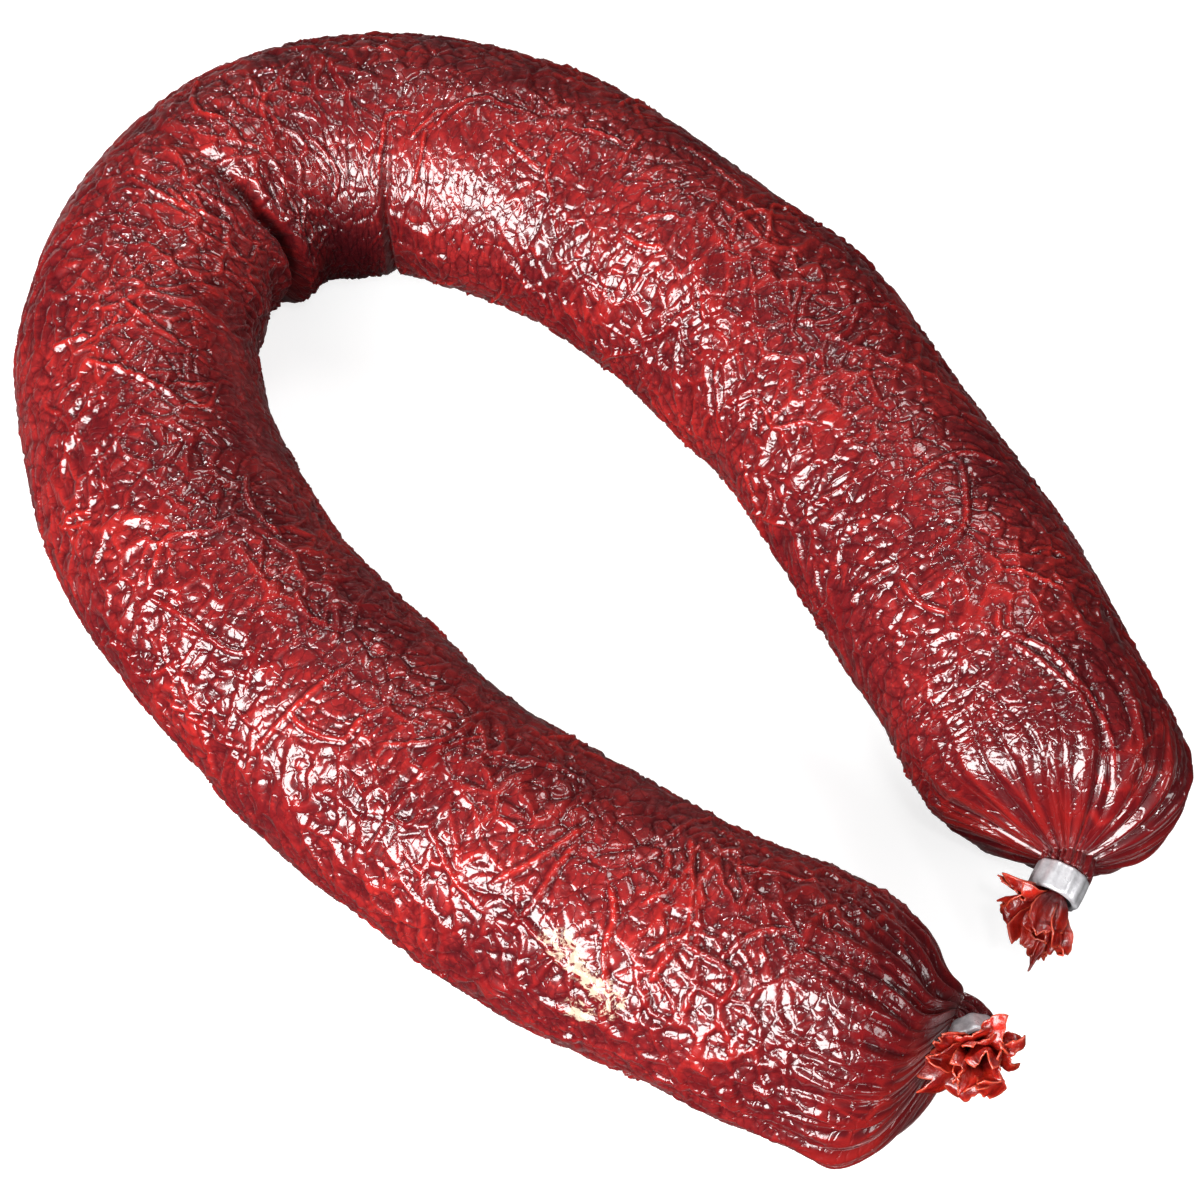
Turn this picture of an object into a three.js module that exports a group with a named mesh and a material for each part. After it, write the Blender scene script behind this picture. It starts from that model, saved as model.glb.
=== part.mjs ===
// A ring of cured sausage lying on its side: one horseshoe of meat in a wrinkled casing,
// gathered at both ends into a neck that passes through a crimped metal clip and flares
// out again as a short ruffled tail. Millimetres, +Z up, the legs of the horseshoe along X.
// Casing, necks and tails are one skin, so the sausage is one solid. Each clip is another.

import * as THREE from 'three';

// Meat
const SAUSAGE_RADIUS = 20.23;
const AXIS_HEIGHT = 19.6;
const AXIS_LENGTH = 428;
const START = { x: 99.39, y: -22.65, heading: 203.8 };

// Turning rate of the axis, in degrees for each millimetre, at stations from the near knot
const TURN_RATES = [
  [0, 0.085], [60, 0.255], [110, 0.287], [150, 0.574], [180, 1.09], [207, 1.21],
  [235, 1.84], [259, 0.948], [294, 0.408], [345, 0.323], [385, -0.194], [410, 1.47], [428, 1.25],
];

// Gathered necks
const NECK_RADIUS = 2.9;
const NECK_BEND_RADIUS = 3.4;
const NEAR_NECK_LEAN = { offset: 7.2, reach: 5.0 };
const PLEATS = { count: 12, depth: 0.9, reach: 26, start: 8, unevenness: 0.3 };

// Clips
const CLIP_LENGTH = 4.5;
const CLIP_WALL = 1.0;
const CLIP_FIT = 0.2;
const CLIP_FACETS = 10;
const CLIP_FACET_DEPTH = 0.2;
const CLIP_EDGE = 0.35;

// Ruffled tails
const TAIL_SPACE = 0.4;
const TAIL_WALL = 1.0;
const TAIL_RUFFLES = 9;
const TAIL_RUFFLE_HEIGHT = 0.45;
const TAIL_FLARE = 1.2;
const TAIL_BORE = 0.5;
const TAIL_BOTTOM = 0.2;

// Each end: how the meat swells from the neck, which way the knot points, how much straight neck
// is left before the clip, and the petals of its tail by angle round the knot in degrees and size
const NEAR_END = {
  cap: { length: 34.0, fullness: 4.18, taper: 0.67 },
  knot: new THREE.Vector3(0.59, -0.50, 0.64).normalize(),
  neck: 1.3,
  seed: 11,
  rim: { radius: 3.6, length: 2.6 },
  petals: [
    { angle: 3, width: 26, out: 1.9, along: 0.4 },
    { angle: 55, width: 24, out: 2.3, along: -0.6 },
    { angle: 118, width: 20, out: 1.6, along: -0.8 },
    { angle: 155, width: 24, out: 3.4, along: -1.2 },
    { angle: 188, width: 12, out: 4.6, along: -0.4 },
    { angle: 240, width: 24, out: 3.8, along: 0.3 },
    { angle: 325, width: 18, out: 0.7, along: 0.8 },
  ],
};
const FAR_END = {
  cap: { length: 22.2, fullness: 4.11, taper: 1.09 },
  knot: new THREE.Vector3(0.31, -0.94, -0.13).normalize(),
  neck: 0.6,
  seed: 29,
  rim: { radius: 3.2, length: 4.2 },
  petals: [
    { angle: 8, width: 30, out: 5.2, along: -2.4 },
    { angle: 62, width: 24, out: 2.4, along: -0.4 },
    { angle: 120, width: 22, out: 1.2, along: 0.8 },
    { angle: 180, width: 24, out: 2.2, along: 1.8 },
    { angle: 222, width: 20, out: 1.8, along: 1.2 },
    { angle: 268, width: 13, out: 0.9, along: 7.2 },
    { angle: 325, width: 22, out: 2.4, along: 1.4 },
  ],
};

// Sharp folds across the inside of the bend, where the ring hung over a stick
const FOLDS = [
  { station: 213.5, depth: 4.2, width: 2.8, reach: 72 },
  { station: 248.5, depth: 2.6, width: 2.4, reach: 65 },
];

// The meat sags outwards below the near knot
const NEAR_SAG = { angle: 240, width: 30, push: 3.2, start: 0.8, reach: 6 };

// Places where the meat bulges or shrinks on one side, by angle round the axis in degrees
const BULGES = [
  { station: 5, angle: 10, height: 1.7, length: 4, width: 60 },
  { station: 6, angle: 215, height: 2.7, length: 5, width: 40 },
  { station: 20, angle: 180, height: -1.7, length: 8, width: 45 },
  { station: 25, angle: 0, height: 1.4, length: 12, width: 45 },
  { station: 40, angle: 180, height: -0.4, length: 10, width: 50 },
  { station: 55, angle: 180, height: 0.6, length: 16, width: 50 },
  { station: 150, angle: 0, height: 0.2, length: 14, width: 50 },
  { station: 189, angle: 345, height: -2.2, length: 8, width: 60 },
  { station: 206, angle: 345, height: -3.6, length: 8, width: 60 },
  { station: 190, angle: 180, height: -0.6, length: 14, width: 50 },
  { station: 212, angle: 180, height: 0.8, length: 30, width: 60 },
  { station: 227, angle: 345, height: -2.4, length: 9, width: 60 },
  { station: 240, angle: 180, height: -0.5, length: 14, width: 50 },
  { station: 262, angle: 345, height: 1.2, length: 10, width: 60 },
  { station: 350, angle: 180, height: -1.2, length: 20, width: 45 },
  { station: 380, angle: 0, height: 0.7, length: 10, width: 45 },
  { station: 390, angle: 180, height: -0.9, length: 10, width: 45 },
  { station: 398, angle: 0, height: 2.7, length: 12, width: 45 },
  { station: 404, angle: 180, height: -3.4, length: 10, width: 45 },
  { station: 414, angle: 180, height: -0.7, length: 6, width: 50 },
  { station: 424, angle: 0, height: -3.4, length: 4, width: 50 },
  { station: 424, angle: 180, height: -1.2, length: 4, width: 50 },
];

// Uneven swelling and wrinkles of the skin
const LUMPS = { count: 7, height: 0.16, shortest: 26, longest: 70, seed: 5 };
const WRINKLES = { count: 16, height: 0.16, shortest: 9, longest: 15, seed: 17, lift: 0.25 };
const RELIEF_FADE = 10;

// Mesh
const AROUND = 44;
const BODY_RINGS = 110;
const STATION_STEP = 0.25;
const END_ZONE = 6;
const END_FINENESS = 5;
const FOLD_ZONE = 6;
const FOLD_FINENESS = 1.5;
const CLIP_AROUND = 40;

const rad = THREE.MathUtils.degToRad;

// Park and Miller's generator, so that every build draws the same numbers
function randomFrom(seed) {
  let state = seed;
  return () => {
    state = (state * 16807) % 2147483647;
    return state / 2147483647;
  };
}

// Straight lines between the given pairs of station and value
function between(pairs, station) {
  const last = pairs.length - 1;
  if (station <= pairs[0][0]) return pairs[0][1];
  for (let i = 0; i < last; i++) {
    const [s0, v0] = pairs[i];
    const [s1, v1] = pairs[i + 1];
    if (station <= s1) return v0 + (v1 - v0) * (station - s0) / (s1 - s0);
  }
  return pairs[last][1];
}

// Axis of the meat at every millimetre: heading is the sum of the turning rate
function walkAxis() {
  const points = [{ x: START.x, y: START.y, heading: START.heading }];
  for (let s = 0; s < AXIS_LENGTH; s++) {
    const from = points[s];
    const rate = between(TURN_RATES, s + 0.5);
    const mid = rad(from.heading - rate / 2);
    points.push({
      x: from.x + Math.cos(mid),
      y: from.y + Math.sin(mid),
      heading: from.heading - rate,
    });
  }
  return points;
}

const axis = walkAxis();

// How far the near end is gathered inward of the axis of the meat
function neckLean(station) {
  return NEAR_NECK_LEAN.offset * Math.max(0, 1 - station / NEAR_NECK_LEAN.reach) ** 2;
}

// Place and directions of the axis at a station: along it, inward to the bend, and up
function bodyFrame(station) {
  const low = Math.min(AXIS_LENGTH - 1, Math.max(0, Math.floor(station)));
  const part = station - low;
  const a = axis[low];
  const b = axis[low + 1];
  const heading = rad(a.heading + (b.heading - a.heading) * part);
  const inward = new THREE.Vector3(Math.sin(heading), -Math.cos(heading), 0);
  const centre = new THREE.Vector3(a.x + (b.x - a.x) * part, a.y + (b.y - a.y) * part, AXIS_HEIGHT);
  return {
    centre: centre.addScaledVector(inward, neckLean(station)),
    along: new THREE.Vector3(Math.cos(heading), Math.sin(heading), 0),
    inward,
    up: new THREE.Vector3(0, 0, 1),
  };
}

// Where a neck leaves the meat, its way out of the meat, and the turn from there to the knot
function neckRoot(end) {
  const isNear = end === NEAR_END;
  const root = bodyFrame(isNear ? 0 : AXIS_LENGTH);
  const outward = root.along.clone().multiplyScalar(isNear ? -1 : 1);
  return { ...root, outward, turn: outward.angleTo(end.knot) };
}

// Frame in the neck, a distance beyond the meat: it turns towards the knot, then runs straight
function knotFrame(end, distance) {
  const root = neckRoot(end);
  const pivot = new THREE.Vector3().crossVectors(root.outward, end.knot).normalize();
  const sideways = new THREE.Vector3().crossVectors(pivot, root.outward);
  const angle = Math.min(root.turn, distance / NECK_BEND_RADIUS);
  const turned = (v) => v.clone().applyAxisAngle(pivot, angle);
  const outward = turned(root.outward);
  const centre = root.centre.clone()
    .addScaledVector(root.outward, NECK_BEND_RADIUS * Math.sin(angle))
    .addScaledVector(sideways, NECK_BEND_RADIUS * (1 - Math.cos(angle)))
    .addScaledVector(outward, distance - angle * NECK_BEND_RADIUS);
  return { centre, outward, inward: turned(root.inward), up: turned(root.up) };
}

const clipStart = (end) => neckRoot(end).turn * NECK_BEND_RADIUS + end.neck;
const tailStart = (end) => clipStart(end) + CLIP_LENGTH + TAIL_SPACE;

// Point at a radius and an angle round the middle of a frame, 0 at its inward side
function roundFrame(frame, radius, theta) {
  return frame.centre.clone()
    .addScaledVector(frame.inward, radius * Math.cos(theta))
    .addScaledVector(frame.up, radius * Math.sin(theta));
}

// Waves on the unrolled skin that meet themselves after one turn round it
function makeWaves({ count, height, shortest, longest, seed }) {
  const random = randomFrom(seed);
  const girth = 2 * Math.PI * SAUSAGE_RADIUS;
  return Array.from({ length: count }, () => {
    const wavelength = shortest + (longest - shortest) * random();
    const direction = 2 * Math.PI * random();
    return {
      height,
      along: 2 * Math.PI * Math.cos(direction) / wavelength,
      around: Math.round(girth * Math.sin(direction) / wavelength),
      phase: 2 * Math.PI * random(),
    };
  });
}

const lumps = makeWaves(LUMPS);
const wrinkles = makeWaves(WRINKLES);

function sumWaves(waves, station, theta) {
  const height = (w) => w.height * Math.sin(w.along * station + w.around * theta + w.phase);
  return waves.reduce((sum, wave) => sum + height(wave), 0);
}

const bell = (x, width) => Math.exp(-((x / width) ** 2));

// Angle in degrees between a direction round the axis and a given one, 0 to 180
function awayFrom(angle, theta) {
  const degrees = THREE.MathUtils.radToDeg(theta) - angle;
  return Math.abs(THREE.MathUtils.euclideanModulo(degrees + 180, 360) - 180);
}

function foldDepth(station, theta) {
  let depth = 0;
  const away = awayFrom(0, theta);
  for (const fold of FOLDS) {
    depth += fold.depth * bell(station - fold.station, fold.width) * bell(away, fold.reach);
  }
  return depth;
}

function bulgeHeight(station, theta) {
  let height = 0;
  for (const bulge of BULGES) {
    const away = awayFrom(bulge.angle, theta);
    height += bulge.height * bell(station - bulge.station, bulge.length) * bell(away, bulge.width);
  }
  return height;
}

// Pleats that run from the neck up the shoulder and die out
function pleatHeight(distance, theta, seed) {
  const fade = Math.max(0, 1 - distance / PLEATS.reach) * Math.min(1, distance / PLEATS.start);
  const uneven = 1 - PLEATS.unevenness * (1 - Math.sin(3 * theta + seed));
  return PLEATS.depth * fade * uneven * Math.cos(PLEATS.count * theta + Math.sin(2 * theta + seed));
}

// Share of the full radius that the meat has reached at a distance from its end
function capSwell(cap, distance) {
  const left = Math.max(0, 1 - distance / cap.length);
  return (1 - left ** cap.fullness) ** cap.taper;
}

// Radius of the sausage at a station and an angle round its axis, 0 at the inside of the bend
function bodyRadius(station, theta) {
  const fromFar = AXIS_LENGTH - station;
  const toEnd = Math.min(station, fromFar);
  const swell = Math.min(capSwell(NEAR_END.cap, station), capSwell(FAR_END.cap, fromFar));
  const base = NECK_RADIUS + (SAUSAGE_RADIUS - NECK_RADIUS) * swell;
  const wrinkled = sumWaves(lumps, station, theta) - Math.abs(sumWaves(wrinkles, station, theta));
  const relief = wrinkled + WRINKLES.lift + bulgeHeight(station, theta);
  const seed = station < fromFar ? NEAR_END.seed : FAR_END.seed;
  return base
    + relief * Math.min(1, toEnd / RELIEF_FADE)
    + pleatHeight(toEnd, theta, seed)
    - foldDepth(station, theta);
}

// How far the skin sags outwards at the near end
function sagPush(station, theta) {
  const along = (1 - Math.exp(-station / NEAR_SAG.start)) * bell(station, NEAR_SAG.reach);
  return NEAR_SAG.push * along * bell(awayFrom(NEAR_SAG.angle, theta), NEAR_SAG.width);
}

// Point of the meat's skin, pressed flat where it lies on the ground
function bodyPoint(station, theta) {
  const frame = bodyFrame(station);
  const p = roundFrame(frame, bodyRadius(station, theta), theta);
  p.addScaledVector(frame.along, -sagPush(station, theta));
  p.z = Math.max(0, p.z);
  return p;
}

// Size of the cut edge of a tail at an angle round the knot: radius and distance from the clip
function tailRim(end, theta) {
  let { radius, length } = end.rim;
  for (const petal of end.petals) {
    const share = bell(awayFrom(petal.angle, theta), petal.width);
    radius += petal.out * share;
    length += petal.along * share;
  }
  return { radius: radius + TAIL_RUFFLE_HEIGHT * Math.sin(TAIL_RUFFLES * theta + end.seed), length };
}

// Point of the tail's outer or inner face: part runs from 0 at the clip to 1 at the cut edge
function tailPoint(end, part, theta, wall) {
  const rim = tailRim(end, theta);
  const radius = NECK_RADIUS + (rim.radius - NECK_RADIUS) * part ** TAIL_FLARE - wall * (0.5 + 0.5 * part);
  return roundFrame(knotFrame(end, tailStart(end) + rim.length * part), Math.max(TAIL_BORE, radius), theta);
}

// Rings of one end, from the meat outwards, over the cut edge and back inside the ruffle
function endRings(end) {
  const neckPoint = (distance) => (theta) => roundFrame(knotFrame(end, distance), NECK_RADIUS, theta);
  const start = clipStart(end);
  const neck = [start / 3, start * 2 / 3, start, start + CLIP_LENGTH / 2].map(neckPoint);
  const outside = [0, 0.25, 0.5, 0.75, 1].map((part) => (theta) => tailPoint(end, part, theta, 0));
  const inside = [0.97, 0.7, 0.4].map((part) => (theta) => tailPoint(end, part, theta, TAIL_WALL));
  const bottom = knotFrame(end, tailStart(end) + end.rim.length * TAIL_BOTTOM).centre;
  return { rings: [...neck, ...outside, ...inside], bottom };
}

// A closed skin through rings of points, with one point at each end
function closedSkin(first, rings, last) {
  const positions = [...first.toArray()];
  for (const ring of rings) {
    for (let j = 0; j < AROUND; j++) positions.push(...ring(2 * Math.PI * j / AROUND).toArray());
  }
  positions.push(...last.toArray());
  const at = (i, j) => 1 + i * AROUND + (j % AROUND);
  const lastIndex = 1 + rings.length * AROUND;
  const index = [];
  for (let j = 0; j < AROUND; j++) {
    index.push(0, at(0, j), at(0, j + 1));
    index.push(lastIndex, at(rings.length - 1, j + 1), at(rings.length - 1, j));
    for (let i = 0; i < rings.length - 1; i++) {
      index.push(at(i, j), at(i + 1, j), at(i + 1, j + 1));
      index.push(at(i, j), at(i + 1, j + 1), at(i, j + 1));
    }
  }
  return makeGeometry(positions, index);
}

function makeGeometry(positions, index) {
  const geometry = new THREE.BufferGeometry();
  geometry.setAttribute('position', new THREE.Float32BufferAttribute(positions, 3));
  geometry.setIndex(index);
  geometry.computeVertexNormals();
  return geometry;
}

// How closely the rings stand at a station: closer at both ends and at the folds
function ringDensity(station) {
  const ends = Math.exp(-station / END_ZONE) + Math.exp(-(AXIS_LENGTH - station) / END_ZONE);
  const folds = FOLDS.reduce((sum, fold) => sum + bell(station - fold.station, FOLD_ZONE), 0);
  return 1 + END_FINENESS * ends + FOLD_FINENESS * folds;
}

// Stations of the rings on the meat, at even steps of the summed density
function bodyStations() {
  const sums = [0];
  for (let s = 0; s < AXIS_LENGTH; s += STATION_STEP) {
    sums.push(sums[sums.length - 1] + ringDensity(s + STATION_STEP / 2));
  }
  const last = sums.length - 1;
  const stations = [];
  for (let i = 0, k = 0; i <= BODY_RINGS; i++) {
    const target = sums[last] * i / BODY_RINGS;
    while (k < last - 1 && sums[k + 1] < target) k++;
    stations.push(STATION_STEP * (k + (target - sums[k]) / (sums[k + 1] - sums[k])));
  }
  return stations;
}

function sausageGeometry() {
  const near = endRings(NEAR_END);
  const far = endRings(FAR_END);
  const body = bodyStations().map((station) => (theta) => bodyPoint(station, theta));
  return closedSkin(near.bottom, [...near.rings.reverse(), ...body, ...far.rings], far.bottom);
}

// A clip: a short band with rounded edges and flats pressed all round it
function clipGeometry(end) {
  const inner = NECK_RADIUS + CLIP_FIT;
  const profile = [
    [0, CLIP_EDGE], [CLIP_EDGE, 0], [CLIP_WALL - CLIP_EDGE, 0], [CLIP_WALL, CLIP_EDGE],
    [CLIP_WALL, CLIP_LENGTH / 2],
    [CLIP_WALL, CLIP_LENGTH - CLIP_EDGE], [CLIP_WALL - CLIP_EDGE, CLIP_LENGTH],
    [CLIP_EDGE, CLIP_LENGTH], [0, CLIP_LENGTH - CLIP_EDGE],
  ];
  const positions = [];
  for (let j = 0; j < CLIP_AROUND; j++) {
    const theta = 2 * Math.PI * j / CLIP_AROUND;
    const flat = CLIP_FACET_DEPTH * Math.cos(CLIP_FACETS * theta);
    for (const [out, length] of profile) {
      const radius = inner + out + flat * out / CLIP_WALL;
      positions.push(...roundFrame(knotFrame(end, clipStart(end) + length), radius, theta).toArray());
    }
  }
  const count = profile.length;
  const at = (j, k) => (j % CLIP_AROUND) * count + (k % count);
  const index = [];
  for (let j = 0; j < CLIP_AROUND; j++) {
    for (let k = 0; k < count; k++) {
      const corners = [at(j, k), at(j + 1, k), at(j + 1, k + 1), at(j, k + 1)];
      if (end === FAR_END) corners.reverse();
      index.push(corners[0], corners[1], corners[2], corners[0], corners[2], corners[3]);
    }
  }
  return makeGeometry(positions, index);
}

const meat = new THREE.MeshStandardMaterial({ color: 0x6e1518, roughness: 0.3, metalness: 0 });
const aluminium = new THREE.MeshStandardMaterial({ color: 0xc9c9cc, roughness: 0.3, metalness: 1 });

function named(name, geometry, material) {
  const mesh = new THREE.Mesh(geometry, material);
  mesh.name = name;
  return mesh;
}

const group = new THREE.Group();
group.add(named('sausage', sausageGeometry(), meat));
group.add(named('clip_near', clipGeometry(NEAR_END), aluminium));
group.add(named('clip_far', clipGeometry(FAR_END), aluminium));

export default group;
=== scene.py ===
"""Looks of the cured sausage: wrinkled glossy casing, gathered ends, crimped clips and ruffled tails."""

import math

import bpy
import numpy as np
from mathutils import Matrix, Vector


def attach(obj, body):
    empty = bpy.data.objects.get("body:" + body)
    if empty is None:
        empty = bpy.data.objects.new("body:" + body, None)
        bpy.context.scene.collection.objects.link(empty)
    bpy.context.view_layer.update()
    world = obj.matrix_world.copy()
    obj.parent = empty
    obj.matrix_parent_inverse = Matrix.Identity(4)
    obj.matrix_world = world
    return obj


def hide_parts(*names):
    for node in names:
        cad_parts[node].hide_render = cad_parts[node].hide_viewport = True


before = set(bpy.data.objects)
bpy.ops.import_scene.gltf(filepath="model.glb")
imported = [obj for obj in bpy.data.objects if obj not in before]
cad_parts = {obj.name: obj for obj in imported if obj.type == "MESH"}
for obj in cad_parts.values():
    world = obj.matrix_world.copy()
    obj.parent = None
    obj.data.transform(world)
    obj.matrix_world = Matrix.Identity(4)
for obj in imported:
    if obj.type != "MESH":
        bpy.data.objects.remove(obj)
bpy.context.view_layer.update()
MM = 0.001

# Camera: the photograph's place and lens, aimed at the middle of the ring
CAMERA_TARGET = (9.29, -4.65, 20.0)
CAMERA_OFFSET = (198.92, -190.36, 476.87)
CAMERA_LENS = 105.48
SENSOR = 36.0
PHOTO_SIZE = 1200

# Meat, as in the solids: radius, height of the axis, its path and its swellings
RADIUS = 20.23
AXIS_HEIGHT = 19.6
LENGTH = 428
START = (99.39, -22.65, 203.8)
TURN_STATIONS = [0, 60, 110, 150, 180, 207, 235, 259, 294, 345, 385, 410, 428]
TURN_RATES = [0.085, 0.255, 0.287, 0.574, 1.09, 1.21, 1.84, 0.948, 0.408, 0.323, -0.194, 1.47, 1.25]
NECK_RADIUS = 2.9
NECK_BEND = 3.4
LEAN_OFFSET, LEAN_REACH = 7.2, 5.0
CLIP_LENGTH = 4.5
CLIP_WALL = 1.0
CLIP_FIT = 0.2
TAIL_SPACE = 0.4
GIRTH = 2 * math.pi * RADIUS

# Each end: its side and station, its straight neck, the way its knot points, how the meat swells there,
# and the petals of its tail by angle round the knot, reach, length, half width and curl
NEAR = dict(
    side=-1, station=0, neck=1.3, knot=(0.59, -0.50, 0.64), cap=(34.0, 4.18, 0.67), seed=11,
    petals=[
        (18, 5.0, 2.6, 3.6, 1.6), (50, 4.2, 2.6, 3.4, -0.8), (84, 4.4, 2.2, 3.4, 1.0),
        (122, 7.4, 2.6, 2.0, 0.6), (145, 7.6, 2.2, 2.2, -0.7), (178, 9.2, 1.6, 3.6, 1.6),
        (210, 5.2, 2.8, 2.8, -0.8), (238, 6.2, 1.6, 4.4, 1.2), (300, 3.6, 3.2, 3.2, -1.0),
        (338, 5.0, 2.0, 3.0, 0.9), (165, 3.2, 4.4, 2.6, 1.0), (60, 2.4, 4.2, 2.4, -0.9),
    ],
)
FAR = dict(
    side=1, station=LENGTH, neck=0.6, knot=(0.31, -0.94, -0.13), cap=(22.2, 4.11, 1.09), seed=29,
    petals=[
        (10, 7.4, 1.0, 2.6, 0.9), (345, 7.0, 2.8, 3.8, -0.9), (318, 5.6, 5.4, 3.8, 0.8),
        (290, 4.0, 7.2, 3.4, -0.7), (248, 3.6, 9.4, 1.4, 0.5), (225, 4.6, 6.8, 3.6, 0.9),
        (178, 5.4, 5.8, 3.8, -1.0), (112, 3.4, 6.0, 3.4, 0.6), (35, 5.0, 1.8, 2.2, 0.8),
        (300, 2.4, 5.0, 2.8, 1.0), (200, 2.2, 5.8, 2.6, -0.9),
    ],
)

# Swellings: station, angle, height, length, width; folds: station, depth, width, reach
BULGES = [
    (5, 10, 1.7, 4, 60), (6, 215, 2.7, 5, 40), (20, 180, -1.7, 8, 45), (25, 0, 1.4, 12, 45),
    (40, 180, -0.4, 10, 50), (55, 180, 0.6, 16, 50), (150, 0, 0.2, 14, 50), (189, 345, -2.2, 8, 60),
    (206, 345, -3.6, 8, 60), (190, 180, -0.6, 14, 50), (212, 180, 0.8, 30, 60), (227, 345, -2.4, 9, 60),
    (240, 180, -0.5, 14, 50), (262, 345, 1.2, 10, 60), (350, 180, -1.2, 20, 45), (380, 0, 0.7, 10, 45),
    (390, 180, -0.9, 10, 45), (398, 0, 2.7, 12, 45), (404, 180, -3.4, 10, 45), (414, 180, -0.7, 6, 50),
    (424, 0, -3.4, 4, 50), (424, 180, -1.2, 4, 50),
]
FOLDS = [(213.5, 5.6, 1.7, 74), (248.5, 2.6, 1.1, 46)]
FOLD_WANDER = 1.4
SWELL_FADE = 10
SAG = dict(angle=240, width=30, push=3.2, start=0.8, reach=6)
LUMPS = dict(count=7, height=0.16, shortest=26, longest=70, seed=5)

# Grid of the skin, in millimetres between points; its steps shrink to a share towards both ends
STEP_ALONG = 0.34
STEP_TOP = 0.33
STEP_UNDER = 0.9
STEP_SHARE_AT_END = 0.25
STEP_REACH = 6
UNDER_FROM, UNDER_TO = 215, 325

# Ends: pleats, how much thicker than the bare neck the gathered casing is, how far the painted shade of the
# ends reaches, and the distance from an end over which the other wrinkles grow
PLEAT_COUNT = 20
FINE_PLEATS = 80
GATHER = 0.8
END_SHADE_REACH = 22
WRINKLES_FROM, WRINKLES_TO = 2, 24
NECK_RINGS = 22

# Cells of the casing's network, along and round it, with the widths and heights of what they make
VEIN_CELL, SEAM_CELL, PEBBLE_CELL = (4.6, 6.2), (3.0, 4.4), (1.7, 1.9)
VEIN_WIDTH, VEIN_HEIGHT, VEIN_MOAT = 0.42, 0.38, 0.14
SEAM_WIDTH, SEAM_DEPTH = 0.22, 0.31
PEBBLE_HEIGHT = 0.12

# Uneven skin: size, height and seed; creases: count, lengths, widths, depths, spread of their direction
UNEVEN = [(12, 0.30, 43), (5, 0.11, 44)]
LONG_CREASES = (320, (8, 22), (0.34, 0.46), (0.12, 0.28), 0.5)
SHORT_CREASES = (1300, (3, 9), (0.28, 0.4), (0.08, 0.2), 0.6)
RIPPLE_SPACING, RIPPLE_DEPTH = 3.6, 0.35

# Cords: those of the photograph, how many more, and the distance between the points of their curves
PHOTO_CORD_WIDTH, PHOTO_CORD_HEIGHT = 0.44, 0.55
FINE_CORDS = 170
CORD_STEP = 0.35

# The hollow between the two folds, darkened with painted shade: station, length, angle, width, and the share
# of relief it loses
HOLLOW = dict(station=232, length=20, angle=345, width=52, smoother=0.4)

# Petals of the tails: grid; radius, depth and half width of the root inside the clip; thickness of the film
PETAL_ROWS, PETAL_COLUMNS = 34, 32
PETAL_ROOT = 1.7
PETAL_DEPTH = 1.6
PETAL_START = 0.8
FILM = 0.24

# Folds of a petal, lengthwise and crosswise: how many and how high
LONG_FOLDS = ((1.3, 0.6), (2.7, 0.3), (5.6, 0.12))
CROSS_FOLDS = ((2.2, 0.26), (4.7, 0.12))

# Clips: points round the band, rounding of its rims
CLIP_COLUMNS = 160
CLIP_RIM = 0.32
CLIP_ROUND = 0.08

rng = np.random.default_rng(7)


# Path

def walk_axis():
    rates = np.interp(np.arange(LENGTH) + 0.5, TURN_STATIONS, TURN_RATES)
    heading = START[2] - np.concatenate([[0], np.cumsum(rates)])
    middle = np.radians(heading[:-1] - rates / 2)
    x = START[0] + np.concatenate([[0], np.cumsum(np.cos(middle))])
    y = START[1] + np.concatenate([[0], np.cumsum(np.sin(middle))])
    return x, y, np.radians(heading)


AXIS_X, AXIS_Y, AXIS_HEADING = walk_axis()


def body_frames(stations):
    """Centres and inward directions of the rings at the given stations."""
    at = np.arange(LENGTH + 1)
    heading = np.interp(stations, at, AXIS_HEADING)
    inward = np.stack([np.sin(heading), -np.cos(heading), 0 * heading], 1)
    centre = np.stack([np.interp(stations, at, AXIS_X), np.interp(stations, at, AXIS_Y),
                       np.full(len(stations), AXIS_HEIGHT)], 1)
    lean = LEAN_OFFSET * np.clip(1 - stations / LEAN_REACH, 0, 1) ** 2
    return centre + lean[:, None] * inward, inward


def knot_frame(end, distance):
    """Centre, outward, inward and up directions in the neck, a distance beyond the meat."""
    centre, inward = body_frames(np.array([float(end["station"])]))
    centre, inward = Vector(centre[0]), Vector(inward[0])
    heading = AXIS_HEADING[end["station"]]
    outward = Vector((math.cos(heading), math.sin(heading), 0)) * end["side"]
    knot = Vector(end["knot"]).normalized()
    turn = outward.angle(knot)
    pivot = outward.cross(knot).normalized()
    sideways = pivot.cross(outward)
    angle = min(turn, distance / NECK_BEND)
    spin = Matrix.Rotation(angle, 3, pivot)
    direction = spin @ outward
    centre = (centre
              + outward * (NECK_BEND * math.sin(angle))
              + sideways * (NECK_BEND * (1 - math.cos(angle)))
              + direction * (distance - angle * NECK_BEND))
    return centre, direction, spin @ inward, spin @ Vector((0, 0, 1))


def clip_start(end):
    heading = AXIS_HEADING[end["station"]]
    outward = Vector((math.cos(heading), math.sin(heading), 0)) * end["side"]
    return outward.angle(Vector(end["knot"])) * NECK_BEND + end["neck"]


def tail_start(end):
    return clip_start(end) + CLIP_LENGTH + TAIL_SPACE


# Noise on the unrolled skin: s along it, t round it, both in millimetres, t closing on itself

def bell(x, width):
    return np.exp(-(x / width) ** 2)


def away(angle, degrees):
    return np.abs((degrees - angle + 180) % 360 - 180)


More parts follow.
